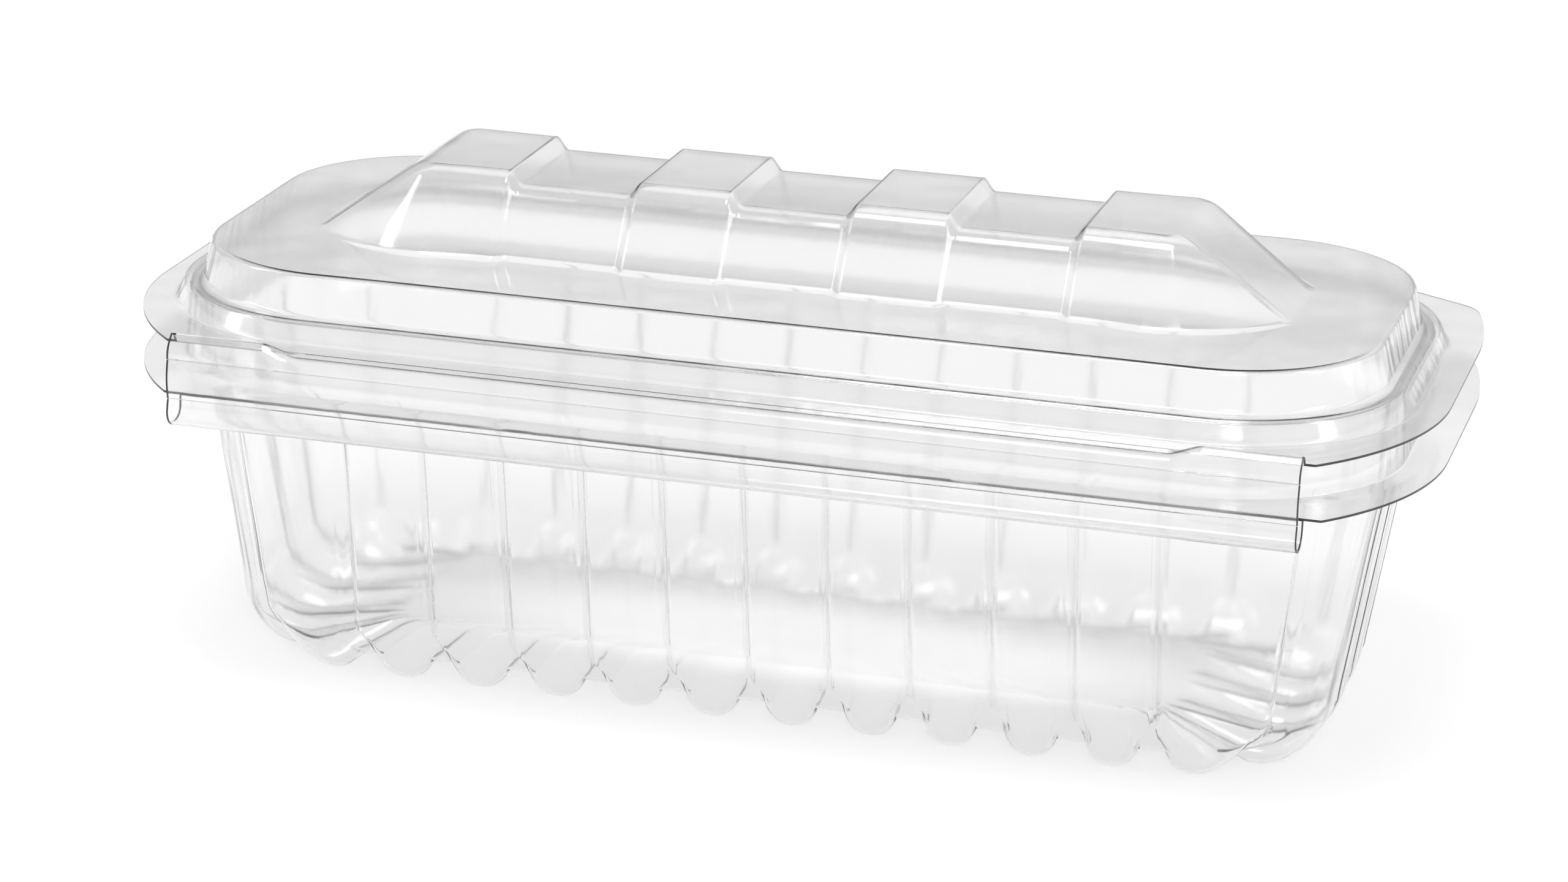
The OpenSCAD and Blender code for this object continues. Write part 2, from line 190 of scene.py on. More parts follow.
def back_corner(f):
    """The flange's back corner, from the side (0) to the back edge (1)."""
    if f <= SIDE_PART:
        return arc(SIDE_ARC_C, SIDE_ARC_R, SIDE_ARC_DEG * f / SIDE_PART)
    if f <= SIDE_PART + TAB_PART:
        return arc(TAB_C, TAB_R, SIDE_ARC_DEG + (TAB_DEG - SIDE_ARC_DEG) * (f - SIDE_PART) / TAB_PART)
    return arc(ROUND_C, ROUND_R, 90 - ROUND_DEG * (1 - f) / ROUND_PART)


def flange_edge(stops, front):
    """The cut edge of a flange whose flat plate ends at y = -front on the hinge side."""
    full = math.asin((front - SIDE_FRONT) / CORNER_R)
    arc_x = FLANGE_X - CORNER_R
    points = []
    for zone, side, f in zip(stops["zone"], stops["side"], stops["along"]):
        if zone == HINGE_SIDE:
            points.append((f * (arc_x + CORNER_R * math.cos(full)), -front))
        elif zone == FRONT_CORNER:
            turn = full * (1 - f)
            x, y = arc_x + CORNER_R * math.cos(turn), -SIDE_FRONT - CORNER_R * math.sin(turn)
            points.append((side * x, y))
        elif zone == END:
            points.append((side * FLANGE_X, -SIDE_FRONT + (SIDE_FRONT + SIDE_ARC_Y) * (f + 1) / 2))
        elif zone == BACK_CORNER:
            x, y = back_corner(f)
            points.append((side * x, y))
        else:
            points.append((f * back_corner(1)[0], FLANGE_BACK))
    return np.array(points)


print("the back edge starts at:", np.round(back_corner(1), 2))

# %% [markdown]
# ## Soft bends
# A sheet that was drawn into a mould has no sharp bends. Each stop's section is a row of places, and a place
# with a trim becomes a short curve that touches both neighbours. A bevel could do this on the finished mesh,
# but bends of a set size on the section itself stay even all round the tray.

# %%
MOST_OF_RUN = 0.49
TINY = 1e-6


def softened(rows, trims, bend_steps, run_steps=2):
    """The section places, each an array of stops x 3, with a bend wherever the trim is not 0."""
    out = [rows[0]]
    for before, here, after, trim in zip(rows, rows[1:], rows[2:], trims):
        if trim == 0:
            out.append(here)
            continue
        into, away = before - here, after - here
        long_in = np.linalg.norm(into, axis=1, keepdims=True)
        long_out = np.linalg.norm(away, axis=1, keepdims=True)
        start = here + into * np.minimum(MOST_OF_RUN, trim / np.maximum(long_in, TINY))
        stop = here + away * np.minimum(MOST_OF_RUN, trim / np.maximum(long_out, TINY))
        last = out[-1]
        for i in range(1, run_steps):
            out.append(last + (start - last) * i / run_steps)
        for k in np.linspace(0, 1, bend_steps + 1):
            out.append((1 - k) ** 2 * start + 2 * k * (1 - k) * here + k * k * stop)
    last = out[-1]
    for i in range(1, run_steps + 1):
        out.append(last + (rows[-1] - last) * i / run_steps)
    return np.stack(out)


right_angle = [np.array([place], float) for place in ((0, 0, 0), (9, 0, 0), (9, 0, 9))]
print("places of a right angle:", len(softened(right_angle, [2.0], 3)))

# %% [markdown]
# ## From rings of points to a sheet
# Rings become a quad mesh, and a Solidify modifier gives it the real sheet thickness, so that light bends
# twice as it does in the real sheet.

# %%
WELD_DISTANCE = 2e-6
SHARP_DEG = 50
FOLD_ZONE, END_MARGIN, END_FACING = 9.0, 0.1, 0.7


def link(name, data):
    """A new object in the scene."""
    made = bpy.data.objects.new(name, data)
    bpy.context.scene.collection.objects.link(made)
    return made


def grid_mesh(name, rings, closed=True, flip=False):
    """A quad mesh from rings of points in millimetres; row 0 is innermost."""
    count, n = rings.shape[:2]
    i = np.arange(n if closed else n - 1)
    j = (i + 1) % n
    faces = []
    for r in range(count - 1):
        quad = np.stack([r * n + i, r * n + j, (r + 1) * n + j, (r + 1) * n + i], 1)
        faces.append(quad if flip else quad[:, ::-1])
    mesh = bpy.data.meshes.new(name)
    mesh.from_pydata((rings.reshape(-1, 3) / 1000).tolist(), [], np.concatenate(faces).tolist())
    mesh.polygons.foreach_set("use_smooth", [True] * len(mesh.polygons))
    return link(name, mesh)


def settled(made):
    """The object with its modifiers worked into a plain mesh."""
    graph = bpy.context.evaluated_depsgraph_get()
    mesh = bpy.data.meshes.new_from_object(made.evaluated_get(graph))
    made.modifiers.clear()
    made.data = mesh
    return made


def welded(made):
    """Joins points that coincide, such as those of a fan's middle."""
    made.modifiers.new("weld", "WELD").merge_threshold = WELD_DISTANCE
    return settled(made)


def thickened(made, upward):
    """Gives the skin its sheet thickness. A cut edge, but not an edge at a fold, takes the edge material,
    which paints it dark grey as painted shade.
    """
    for material in (sheet_material, painted_dark_edge_material):
        if made.data.materials.find(material.name) < 0:
            made.data.materials.append(material)
    solid = made.modifiers.new("sheet", "SOLIDIFY")
    solid.thickness = SHEET / 1000
    solid.offset = 1 if upward else -1
    solid.use_even_offset = False
    # The rim faces take the edge material, an opaque dark grey: painted shade on the cut edge.
    solid.material_offset_rim = 1
    settled(made)
    made.data.set_sharp_from_angle(angle=math.radians(SHARP_DEG))
    for face in made.data.polygons:
        x, y, _ = 1000 * face.center
        at_fold = abs(x) < HINGE_X - END_MARGIN and y < FOLD_ZONE - FOLD_Y
        if at_fold and abs(face.normal.x) < END_FACING:
            face.material_index = 0
    return made


print("sheet thickness:", SHEET, "mm")

# %% [markdown]
# ## Materials
# The sheet is clear plastic with the refraction of PET and a little haze. Two faint bumps follow the drawn
# sheet: a slow wavering all over, and fine upright draw lines where a face stands up. The cut edge is the
# sheet's own thickness seen end on. In the clear sheet light is caught in it, so it looks dark; here the edge
# material paints it an opaque dark grey instead, as painted shade.
# A thin-film trick with plain transparency is cheaper, but it shows no doubled lines at bends.

# %%
PET_IOR = 1.57
WAVE_LENGTH, LINE_WIDTH, LINE_LENGTH = 9.0, 2.5, 70.0
WAVE_STRENGTH, LINE_STRENGTH, BUMP_HEIGHT = 0.25, 0.3, 0.0002


def principled(name, **settings):
    """A material of one Principled shader. Returns the material, its tree and the shader."""
    material = bpy.data.materials.new(name)
    material.use_nodes = True
    shader = material.node_tree.nodes["Principled BSDF"]
    set_up(shader, settings)
    return material, material.node_tree, shader


sheet_material, tree, shader = principled(
    "clear thermoformed PET",
    base_color=linear("#FCFCFC"),
    roughness=0.09,
    ior=PET_IOR,
    transmission_weight=1.0,
)
place = add(tree, "ShaderNodeTexCoord")
wave = add(tree, "ShaderNodeTexNoise", scale=1000 / WAVE_LENGTH, detail=0.0)
waver = add(tree, "ShaderNodeBump", strength=WAVE_STRENGTH, distance=BUMP_HEIGHT)
stretch = add(tree, "ShaderNodeMapping", scale=(1000 / LINE_WIDTH, 1000 / LINE_WIDTH, 1000 / LINE_LENGTH))
lines = add(tree, "ShaderNodeTexNoise", scale=1.0, detail=0.0)
facing = add(tree, "ShaderNodeNewGeometry")
parts = add(tree, "ShaderNodeSeparateXYZ")
level = add(tree, "ShaderNodeMath", operation="ABSOLUTE")
upright = add(tree, "ShaderNodeMapRange", from_min=0.7, from_max=0.2, to_max=LINE_STRENGTH)
streaks = add(tree, "ShaderNodeBump", distance=BUMP_HEIGHT)
join(
    tree,
    (place.outputs["Object"], wave.inputs["Vector"]),
    (wave.outputs["Fac"], waver.inputs["Height"]),
    (place.outputs["Object"], stretch.inputs["Vector"]),
    (stretch.outputs["Vector"], lines.inputs["Vector"]),
    (lines.outputs["Fac"], streaks.inputs["Height"]),
    (facing.outputs["Normal"], parts.inputs[0]),
    (parts.outputs["Z"], level.inputs[0]),
    (level.outputs[0], upright.inputs["Value"]),
    (upright.outputs["Result"], streaks.inputs["Strength"]),
    (waver.outputs["Normal"], streaks.inputs["Normal"]),
    (streaks.outputs["Normal"], shader.inputs["Normal"]),
)
# The edge material is painted shade: an opaque dark grey in place of the darkness of light caught in the
# clear edge.
painted_dark_edge_material, _, _ = principled("cut PET edge painted dark", base_color=linear("#2E3032"), roughness=0.35, ior=PET_IOR)
print("materials:", sheet_material.name, "and", painted_dark_edge_material.name)

# %% [markdown]
# ## The fluted base
# Every flute runs from the flange down the wall, round the bend and into a hollow foot. The wall panels are
# almost flat with narrow grooves between them; at the feet the grooves open into gaps between round lobes.
# So each point has two places, one as if it lay in a groove and one as if it lay on a flute, and a rule mixes
# them by the point's share of its flute. A small Geometry Nodes group holds that rule, with the pitch, the
# lobe radius, the groove height and the flatness of the panels as its inputs.

# %%
PHASES = np.array([0, 0.03, 0.06, 0.1, 0.13, 0.155, 0.175, 0.195, 0.22, 0.26, 0.31, 0.37, 0.43])
PHASES = np.concatenate([PHASES, [0.5], 1 - PHASES[:0:-1]])


def flute_fractions(count):
    """Fractions along a zone with a number of flutes, close together where a flute bends."""
    return np.concatenate([(k + PHASES) / count for k in range(count)])


base_stops = walk(flute_fractions(FLUTES_LONG), flute_fractions(FLUTES_CORNER), flute_fractions(FLUTES_END))
phase = np.tile(PHASES, len(base_stops["zone"]) // len(PHASES))
print("stops round the base:", len(phase))

# %% [markdown]
# A section of the base starts in the middle of the floor, goes down into a foot, round a quarter of an
# ellipse, up the wall, over the rim and out to the flange's edge.

# %%
FLOOR_IN, FLOOR_OUT = [6.0, 0.0], 5.0
BEND_DEGREES = range(90, 5, -5)
FULL_FOOT_DEG = 62
FOOT_OUT, ELBOW_OUT = 16.6, 23.0
FOOT_SHIFT, ELBOW_SHIFT = 1.5, 4.9
WALL_ROWS = ((23.4, ELBOW_Z + 2, 6.35), (30.3, BASE_Z - 4, 5.4))
RIM_ROWS = ((2.0, BASE_Z + 1), (2.3, RIM_Z), (3.4, RIM_Z), (4.4, BASE_Z))
BASE_TRIMS = [2.0, 3.0] + [0] * (len(BEND_DEGREES) - 1) + [1.0, 2.0, 1.0, 0.5, 0.5, 0.9]
BASE_BEND_STEPS = 3


def base_row(core, offset, z, shift=0.0):
    """One outline of the base; the shift moves its ends outward."""
    flat = grown(base_stops, core, offset)
    flat[:, 0] += shift * base_stops["out"][:, 0]
    return at_height(flat, z)


def base_rows(depth, low):
    """Section places in a groove (depth, low) or on a flute (0, 0), and each row's share of a foot."""
    rows = [np.tile([0.0, 0.0, FLOOR_Z], (len(phase), 1)), base_row(BASE_CORE - FLOOR_IN, FLOOR_OUT, FLOOR_Z)]
    share = [1, 1]
    for degrees in BEND_DEGREES:
        c, s = math.cos(math.radians(degrees)), math.sin(math.radians(degrees))
        core = BASE_CORE - [FOOT_SHIFT * (1 - c), 0]
        offset = FOOT_OUT + (ELBOW_OUT - depth - FOOT_OUT) * c
        rows.append(base_row(core, offset, low + (ELBOW_Z - low) * (1 - s), FOOT_SHIFT + ELBOW_SHIFT * c))
        share.append(eased(degrees / FULL_FOOT_DEG))
    rows += [base_row(BASE_CORE, out - depth, z, shift) for out, z, shift in WALL_ROWS]
    rows += [base_row(LID_CORE, DECK_R + out, z) for out, z in RIM_ROWS]
    rows.append(at_height(flange_edge(base_stops, FOLD_Y - GUTTER_W + SHEET / 2), BASE_Z))
    return rows, share + [0] * (len(rows) - len(share))


groove_rows, shares = base_rows(GROOVE_DEPTH, GROOVE_Z)
flute_rows, _ = base_rows(0, 0)
share_rows = [np.full((len(phase), 3), share, float) for share in shares]
groove_grid, flute_grid, share_grid = (
    softened(rows, BASE_TRIMS, BASE_BEND_STEPS) for rows in (groove_rows, flute_rows, share_rows)
)
base_skin = grid_mesh("base_skin", groove_grid)
print("rings of the base:", len(groove_grid))

# %% [markdown]
# The rule works on three values that travel with each point: how far the point moves from its groove place
# to its flute place, its share of the flute's width, and how much of the foot's form it has there.

# %%
CARRIED = {
    "rise": ((flute_grid - groove_grid) / 1000, "FLOAT_VECTOR", "vector"),
    "phase": (np.tile(phase, len(groove_grid)), "FLOAT", "value"),
    "foot_share": (share_grid[:, :, 0], "FLOAT", "value"),
}
for name, (values, kind, field) in CARRIED.items():
    attribute = base_skin.data.attributes.new(name, kind, "POINT")
    attribute.data.foreach_set(field, np.ravel(values).astype(np.float32))

flute_sizes = {"Pitch": PITCH, "Lobe Radius": LOBE_R, "Groove Height": GROOVE_Z, "Flatness": 0.9}
flutes = bpy.data.node_groups.new("flutes", "GeometryNodeTree")
flutes.interface.new_socket("Geometry", in_out="INPUT", socket_type="NodeSocketGeometry")
for label in flute_sizes:
    flutes.interface.new_socket(label, in_out="INPUT", socket_type="NodeSocketFloat")
flutes.interface.new_socket("Geometry", in_out="OUTPUT", socket_type="NodeSocketGeometry")
given = add(flutes, "NodeGroupInput")
result = add(flutes, "NodeGroupOutput")


def calc(operation, *values):
    """A Math node whose inputs are numbers or other nodes' outputs."""
    node = add(flutes, "ShaderNodeMath", operation=operation)
    for value, socket in zip(values, node.inputs):
        if isinstance(value, (int, float)):
            socket.default_value = value
        else:
            flutes.links.new(value, socket)
    return node.outputs[0]


def named(name, kind="FLOAT"):
    """A value that travels with the points."""
    node = add(flutes, "GeometryNodeInputNamedAttribute", data_type=kind)
    node.inputs["Name"].default_value = name
    return node.outputs["Attribute"]


print("inputs of the rule:", list(flute_sizes))

# %% [markdown]
# A foot is a round lobe: full in the middle of the flute, falling off along a circle. A wall panel is flat
# with a slight bow, and drops only in the narrow groove. The groove widens toward the foot, where the lobe
# takes over.

# %%
LOBE_BLEND, GROOVE_BLEND = 0.2, 0.3
GROOVE_WIDTH, FOOT_WIDTH = 0.06, 0.26

at, foot = named("phase"), named("foot_share")
radius, height, flatness = (given.outputs[label] for label in ("Lobe Radius", "Groove Height", "Flatness"))

across = calc("MULTIPLY", calc("SUBTRACT", at, 0.5), given.outputs["Pitch"])
squares = calc("SUBTRACT", calc("MULTIPLY", radius, radius), calc("MULTIPLY", across, across))
chord = calc("SQRT", calc("MAXIMUM", squares, 0.0))
sag = calc("DIVIDE", calc("SUBTRACT", radius, chord), height)
lobe = calc("SMOOTH_MAX", calc("SUBTRACT", 1.0, sag), 0.0, LOBE_BLEND)

bow = calc("SINE", calc("MULTIPLY", at, math.pi))
panel = calc("ADD", flatness, calc("MULTIPLY", bow, calc("SUBTRACT", 1.0, flatness)))
near = calc("MINIMUM", at, calc("SUBTRACT", 1.0, at))
width = calc("ADD", calc("MULTIPLY", foot, FOOT_WIDTH), GROOVE_WIDTH)
open_groove = calc("SMOOTH_MIN", calc("DIVIDE", near, width), 1.0, GROOVE_BLEND)
wall = calc("MULTIPLY", panel, calc("MAXIMUM", open_groove, 0.0))
fullness = calc("ADD", calc("MULTIPLY", wall, calc("SUBTRACT", 1.0, foot)), calc("MULTIPLY", lobe, foot))

push = add(flutes, "ShaderNodeVectorMath", operation="SCALE")
move = add(flutes, "GeometryNodeSetPosition")
whole = add(flutes, "GeometryNodeRealizeInstances")
dress = add(flutes, "GeometryNodeSetMaterial", material=sheet_material)
join(
    flutes,
    (named("rise", "FLOAT_VECTOR"), push.inputs[0]),
    (fullness, push.inputs["Scale"]),
    (given.outputs["Geometry"], move.inputs["Geometry"]),
    (push.outputs[0], move.inputs["Offset"]),
    (move.outputs["Geometry"], whole.inputs["Geometry"]),
    (whole.outputs["Geometry"], dress.inputs["Geometry"]),
    (dress.outputs["Geometry"], result.inputs["Geometry"]),
)
print("nodes in the rule:", len(flutes.nodes))

# %%
rule = base_skin.modifiers.new("flutes", "NODES")
rule.node_group = flutes
for socket in flutes.interface.items_tree:
    if socket.in_out == "INPUT" and socket.name in flute_sizes:
        rule[socket.identifier] = flute_sizes[socket.name]
settled(base_skin)
for name in CARRIED:
    base_skin.data.attributes.remove(base_skin.data.attributes[name])
welded(base_skin)
thickened(base_skin, upward=True)
print("base skin:", len(base_skin.data.polygons), "faces")

# %% [markdown]
# ## Lips beside the folds
# On the hinge side the base flange dips into a gutter and comes up to the lower fold; the lid flange bends
# down to the upper fold. The strip lies between the folds. All three are sections swept along the hinge. Near
# the ends the section of a lip swells into a lug, a small pillow. The last bit at each cut end takes the dark
# edge material, painted shade, so that the cut reads as a dark line from the front too.

# %%
LUG_LENGTH, LUG_SLOPE = 24.0, 7.0
CUT_LINE, FOLD_GAP = 0.25, 0.05
GUTTER_R, GUTTER_DROP, GUTTER_SWELL, GUTTER_LIP = 3.2, 5.7, 0.5, 1.0
BEAD_R, BEAD_SWELL, BEAD_RISE = 2.35, 0.3, 2.0
BEAD_ROOT = ((BEAD_W, 0.0), (4.2, 0.8), (3.4, 1.6))
STRIP_H, STRIP_BULGE = 7.4, 0.5
PLAIN_PLACES, LUG_PLACES = 24, 26


def lip(name, section, upward, flip):
    """Sweeps a section along the hinge."""
    lug_start = HINGE_X - LUG_LENGTH
    inner = np.linspace(0, lug_start - 1, PLAIN_PLACES)
    outer = np.linspace(lug_start, HINGE_X - CUT_LINE, LUG_PLACES)
    half = np.concatenate([inner, outer, [HINGE_X]])
    rows = []
    for x in np.concatenate([-half[:0:-1], half]):
        places = section(eased((abs(x) - lug_start) / LUG_SLOPE))
        rows.append(np.column_stack([np.full(len(places), x), places]))
    made = thickened(grid_mesh(name, np.stack(rows), closed=False, flip=flip), upward)
    # The faces within CUT_LINE of each end take the dark edge material: painted shade that draws the cut as a
    # dark line.
    for face in made.data.polygons:
        if 1000 * abs(face.center.x) > HINGE_X - CUT_LINE:
            face.material_index = 1
    return made


def gutter_section(swell):
    """From the lower fold down, round the gutter and up to the base's flange."""
    turn = np.radians(np.linspace(180, 360, 17))
    curve = np.stack([np.cos(turn), np.sin(turn)], 1)
    ring = np.array([-FOLD_Y + GUTTER_R, LOW_FOLD - GUTTER_DROP + GUTTER_R]) + GUTTER_R * curve
    ring[:, 0] -= GUTTER_SWELL * swell * np.maximum(0, -curve[:, 0])
    fold = [-FOLD_Y, LOW_FOLD - FOLD_GAP]
    below = [-FOLD_Y - GUTTER_SWELL / 2 * swell, LOW_FOLD - GUTTER_LIP]
    return np.concatenate([[fold, below], ring, [[-FOLD_Y + GUTTER_W, BASE_Z]]])


def bead_section(swell):
    """From the lid's flange over the bead and down to the upper fold."""
    turn = np.radians(np.linspace(0, 90, 13))
    curve = np.stack([-np.sin(turn), np.cos(turn)], 1)
    ring = np.array([-FOLD_Y + BEAD_R, LID_Z - BEAD_R]) + BEAD_R * curve
    ring += swell * np.stack([-BEAD_SWELL * np.sin(2 * turn), BEAD_RISE * (1 - np.sin(turn))], 1)
    root = [[-FOLD_Y + y, LID_Z + rise * swell] for y, rise in BEAD_ROOT]
    return np.concatenate([root, ring])


def strip_section(_):
    """From fold to fold, with a slight bulge and no lugs."""
    share = np.linspace(0, 1, 13)
    height = LOW_FOLD + FOLD_GAP + (STRIP_H - 2 * FOLD_GAP) * share
    return np.stack([-FOLD_Y - STRIP_BULGE * np.sin(math.pi * share), height], 1)


gutter = lip("gutter", gutter_section, upward=True, flip=False)
bead = lip("bead", bead_section, upward=False, flip=True)
strip_skin = lip("strip_skin", strip_section, upward=False, flip=False)
print("lips:", [(made.name, len(made.data.polygons)) for made in (gutter, bead, strip_skin)])

# %% [markdown]
# ## The lid
# From the deck a step goes down to a ledge and a second step to the flange. In the middle stands a ridge with
# four blocks and three recesses along its top. All of it is one skin: each stop's section starts on the
# ridge's middle line, goes over its edge, down its side, across the deck and down the steps.
# The stops lie close together where a block ends, so that the recesses get crisp sides.

# %%
STEP_EDGES, STEP_SOFT = np.array([10.9, 30.3, 53.4]), 1.2
RECESS_DROP, RECESS_IN = 2.4, 1.5
RIDGE_STRAIGHT = 68.0
STEP_REACH, STEP_PLACES, EVEN_START, EVEN_STEP, EVEN_CLEAR = 1.4, 13, 1.5, 3, 2
CORNER_PLACES, END_PLACES = 28, 10


def recess(x):
    """1 in a recess of the ridge and 0 on a block, with soft slopes between."""
    k = eased((abs(np.asarray(x, float))[..., None] - STEP_EDGES + STEP_SOFT) / (2 * STEP_SOFT))
    return 1 - k[..., 0] + k[..., 1] - k[..., 2]


near_steps = [np.linspace(edge - STEP_REACH, edge + STEP_REACH, STEP_PLACES) for edge in STEP_EDGES]
even = np.arange(EVEN_START, RIDGE_STRAIGHT, EVEN_STEP)
even = even[np.min(abs(even[:, None] - STEP_EDGES), axis=1) > EVEN_CLEAR]
half = np.unique(np.concatenate([*near_steps, even, [0]]))
long_x = np.concatenate([[-LID_CORE[0]], -half[:0:-1], half])
lid_stops = walk(
    (1 + long_x / LID_CORE[0]) / 2,
    np.arange(CORNER_PLACES) / CORNER_PLACES,
    np.arange(END_PLACES) / END_PLACES,
)
print("stops round the lid:", len(lid_stops["zone"]))

# %% [markdown]
# The ridge's foot and its top edge follow the stops by their zones. The foot flares toward the ends, where it
# closes in an arc. The side walls of the recesses lie a little behind those of the blocks.

# %%
RIDGE_END, FOOT_ARC_R = 92.0, 27.0
FOOT_HALF, FLARE = 24.8, 1.7
TOP_X, TOP_Y, TOP_R = 72.5, 15.3, 2.5

zone, side, along = lid_stops["zone"], lid_stops["side"], lid_stops["along"]
x_way = np.sign(lid_stops["core"][:, 0])
y_way = np.where(lid_stops["core"][:, 1] < 0, -1.0, 1.0)
x_long = lid_stops["core"][:, 0] * LID_CORE[0]
on_long = (zone == HINGE_SIDE) | (zone == BACK_SIDE)
on_ridge = on_long & (abs(lid_stops["core"][:, 0]) != 1)
places = [zone == END, on_ridge, on_long]

foot_end = FOOT_HALF + FLARE
full_turn = math.asin((RIDGE_END - RIDGE_STRAIGHT) / FOOT_ARC_R)
turn = full_turn * np.where(zone == FRONT_CORNER, along, 1 - along)
tip_half = foot_end - FOOT_ARC_R * (1 - math.cos(full_turn))
flared = np.clip((abs(x_long) - STEP_EDGES[-1]) / (RIDGE_STRAIGHT - STEP_EDGES[-1]), 0, 1) ** 2
foot_half = FOOT_HALF + FLARE * flared - RECESS_IN * recess(x_long)
corner_x, corner_y = RIDGE_STRAIGHT + FOOT_ARC_R * np.sin(turn), foot_end - FOOT_ARC_R * (1 - np.cos(turn))
foot_x = np.select(places, [side * RIDGE_END, x_long, x_way * RIDGE_STRAIGHT], side * corner_x)
foot_y = np.select(places, [along * tip_half, y_way * foot_half, y_way * foot_end], y_way * corner_y)

flat_x, flat_y = TOP_X - TOP_R, TOP_Y - TOP_R
corner_x, corner_y = (np.stack([x_way * flat_x, y_way * flat_y], 1) + TOP_R * lid_stops["out"]).T
top_x = np.select(places, [side * TOP_X, x_long, x_way * flat_x], corner_x)
top_y = np.select(places, [along * flat_y, y_way * TOP_Y, y_way * TOP_Y], corner_y)
mid_x = np.where(on_ridge, np.clip(x_long, TOP_Y - TOP_X, TOP_X - TOP_Y), x_way * (TOP_X - TOP_Y))
top_z, mid_z = (RIDGE_Z - RECESS_DROP * np.where(on_ridge, recess(x), 0) for x in (x_long, mid_x))
print("the ridge's foot is", round(2 * tip_half, 1), "mm wide at its ends")

# %%
LID_STEPS = ((-0.2, DECK_Z), (1.5, LEDGE_Z), (4.8, LEDGE_Z), (6.7, LID_Z))
LID_TRIMS = [2.4, 1.0, 1.0, 0.8, 0.8, 0.8]
LID_BEND_STEPS, LID_RUN_STEPS = 6, 4

lid_rows = [
    np.column_stack([mid_x, 0 * mid_x, mid_z]),
    np.column_stack([top_x, top_y, top_z]),
    at_height(np.column_stack([foot_x, foot_y]), DECK_Z),
]
lid_rows += [at_height(grown(lid_stops, LID_CORE, DECK_R + out), z) for out, z in LID_STEPS]
lid_rows.append(at_height(flange_edge(lid_stops, FOLD_Y - BEAD_W), LID_Z))
lid_skin = grid_mesh("lid_skin", softened(lid_rows, LID_TRIMS, LID_BEND_STEPS, LID_RUN_STEPS))
welded(lid_skin)
thickened(lid_skin, upward=False)
print("lid skin:", len(lid_skin.data.polygons), "faces")

# %% [markdown]
# ## Riding on the frame
# Each skin moves with the CAD body that it stands for, so the lid and the strip fold in every pose.

# %%
RIDERS = {"base_tray": (base_skin, gutter), "hinge_strip": (strip_skin,), "lid": (lid_skin, bead)}
for body, skins in RIDERS.items():
    for made in skins:
        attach(made, body)
        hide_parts(body)
        print(made.name, "rides on", body)

# %% [markdown]
# ## Studio
# The pale floor glows like a light table. Its glow is painted light: a pool brightest under the tray, so the
# shadow stays faint and the inside of the tray stays white. Four softboxes give the highlights: one above,
# one at each side and one in front.
# The surroundings, which only reflections see, are an even grey, so the sheet reads as grey lines on white.

# %%
FLOOR_HALF = 6.0
GLOW_CENTRE, GLOW_REACH = (0, 0.012, 0), (0.1, 0.027)
GLOW_EDGE, GLOW_CORE = 1.0, 0.4
GLOW_AROUND, GLOW_UNDER = 0.7, 1.03

floor_mesh = bpy.data.meshes.new("floor")
floor_corners = [(x * FLOOR_HALF, y * FLOOR_HALF, 0) for x, y in ((-1, -1), (1, -1), (1, 1), (-1, 1))]
floor_mesh.from_pydata(floor_corners, [], [(0, 1, 2, 3)])
floor = link("floor", floor_mesh)
floor_material, tree, shader = principled(
    "white floor with painted glow",
    base_color=linear("#A4A4A4"),
    roughness=1.0,
    specular_ior_level=0.0,
    emission_color=linear("#FFFFFF"),
)
# The emission is painted light: a glow over the whole floor, strongest in an ellipse under the tray, that
# lifts the view through the tray and fades its shadow.
place = add(tree, "ShaderNodeTexCoord")
shift = add(tree, "ShaderNodeVectorMath", operation="SUBTRACT")
shift.inputs[1].default_value = GLOW_CENTRE
squash = add(tree, "ShaderNodeVectorMath", operation="MULTIPLY")
squash.inputs[1].default_value = (1 / GLOW_REACH[0], 1 / GLOW_REACH[1], 0)
reach = add(tree, "ShaderNodeVectorMath", operation="LENGTH")
fade = add(tree, "ShaderNodeMapRange", interpolation_type="SMOOTHSTEP", to_min=GLOW_AROUND, to_max=GLOW_UNDER)
set_up(fade, {"from_min": GLOW_EDGE, "from_max": GLOW_CORE})
join(
    tree,
    (place.outputs["Object"], shift.inputs[0]),
    (shift.outputs[0], squash.inputs[0]),
    (squash.outputs[0], reach.inputs[0]),
    (reach.outputs["Value"], fade.inputs["Value"]),
    (fade.outputs["Result"], shader.inputs["Emission Strength"]),
)
floor_mesh.materials.append(floor_material)
print("floor:", floor_material.name)

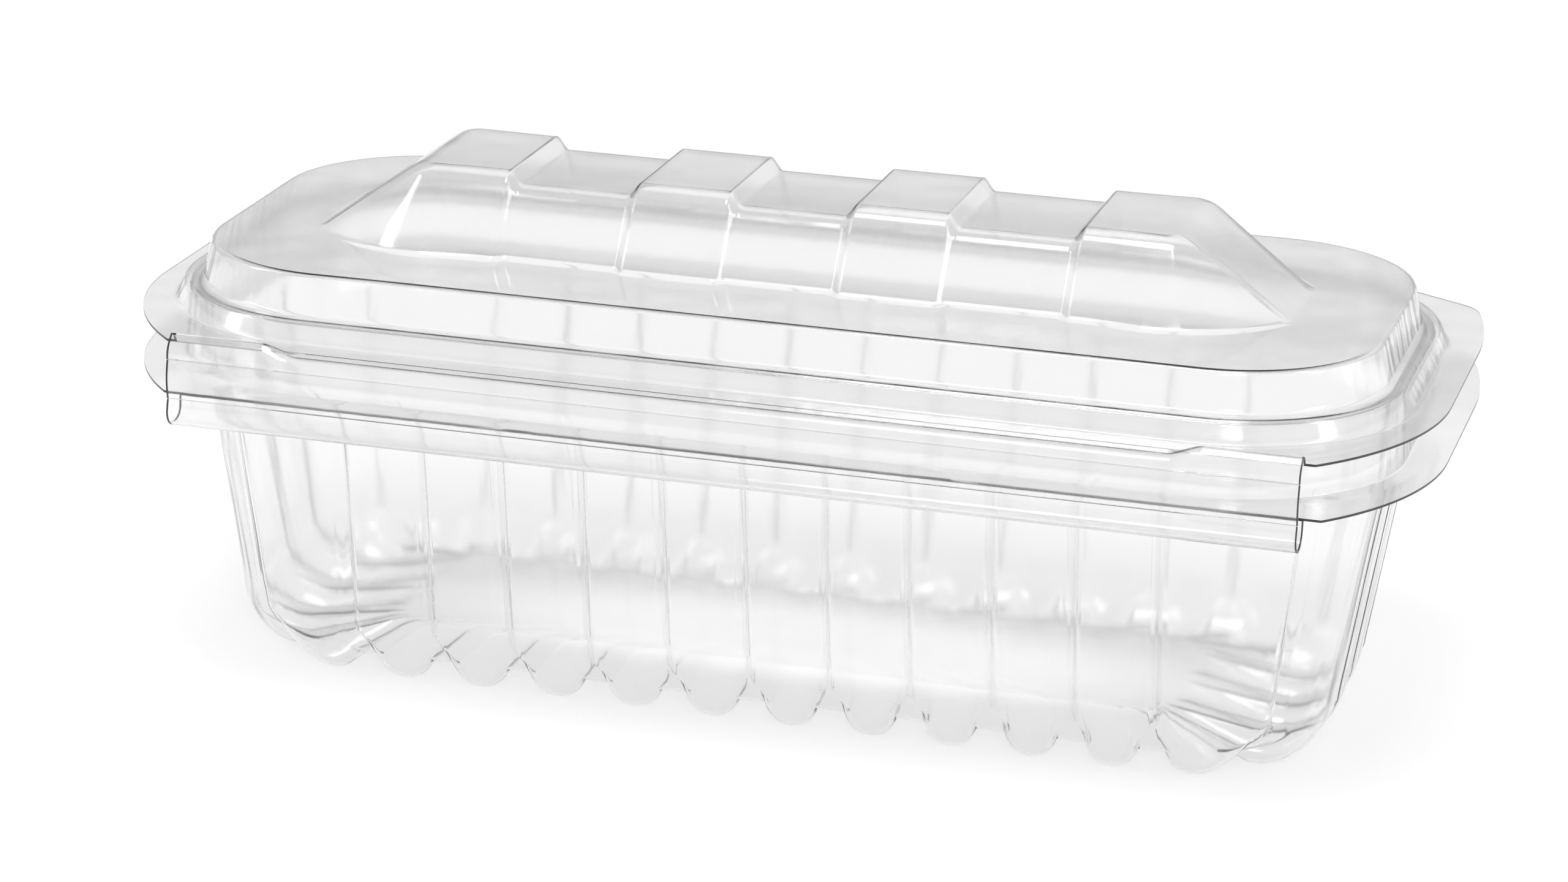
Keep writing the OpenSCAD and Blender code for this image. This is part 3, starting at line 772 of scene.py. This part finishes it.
# %%
SOFTBOXES = (
    ("top softbox", (0.0, -0.45, 1.45), (0, 0, 0), (0.7, 0.45), 8),
    ("left softbox", (-1.3, -0.5, 0.9), (0, 0, 0.05), (0.25, 1.0), 4),
    ("right softbox", (1.3, -0.3, 0.8), (0, 0, 0.05), (0.25, 1.0), 3),
    ("front softbox", (0.35, -1.1, 0.6), (0, 0, 0.03), (0.26, 0.26), 4),
)
for name, position, target, size, power in SOFTBOXES:
    light = bpy.data.lights.new(name, "AREA")
    light.shape, light.size, light.size_y, light.energy = "RECTANGLE", size[0], size[1], power
    softbox = link(name, light)
    softbox.location = position
    softbox.rotation_euler = (Vector(target) - Vector(position)).to_track_quat("-Z", "Y").to_euler()

scene = bpy.context.scene
scene.world = bpy.data.worlds.new("studio")
scene.world.use_nodes = True
sky = scene.world.node_tree
path = add(sky, "ShaderNodeLightPath")
surroundings = sky.nodes["Background"]
surroundings.inputs["Color"].default_value = linear("#C8C8C8")
backdrop = add(sky, "ShaderNodeBackground", strength=1.0)
backdrop.inputs["Color"].default_value = linear("#FFFFFF")
choose = add(sky, "ShaderNodeMixShader")
join(
    sky,
    (path.outputs["Is Camera Ray"], choose.inputs[0]),
    (surroundings.outputs[0], choose.inputs[1]),
    (backdrop.outputs[0], choose.inputs[2]),
    (choose.outputs[0], sky.nodes["World Output"].inputs["Surface"]),
)
scene.view_settings.view_transform = "Standard"
scene.cycles.max_bounces = 20
scene.cycles.transmission_bounces = 18
scene.cycles.glossy_bounces = 4

# %% [markdown]
# ## Camera
# The tray was seen from the hinge side, a little from its right end and from above, with a long lens.

# %%
AZIMUTH, ELEVATION, ROLL = map(math.radians, (15.15, 17.93, 1.61))
LOOKED_AT, DISTANCE = Vector((-0.0049, 0.0025, 0.04308)), 0.91652
LENS, SENSOR, CLIP_END = 111.23, 36, 50

right = Vector((math.cos(AZIMUTH), math.sin(AZIMUTH), 0))
level_back = Vector((math.sin(AZIMUTH), -math.cos(AZIMUTH), 0))
back = math.cos(ELEVATION) * level_back + math.sin(ELEVATION) * Vector((0, 0, 1))
tilted = math.cos(ROLL) * right + math.sin(ROLL) * back.cross(right)
lens = bpy.data.cameras.new("camera")
lens.lens, lens.sensor_width, lens.clip_end = LENS, SENSOR, CLIP_END
camera = link("camera", lens)
turned = Matrix((tilted, back.cross(tilted), back)).transposed().to_4x4()
camera.matrix_world = Matrix.Translation(LOOKED_AT + DISTANCE * back) @ turned
scene.camera = camera
print("camera at", [round(c, 4) for c in camera.matrix_world.translation])
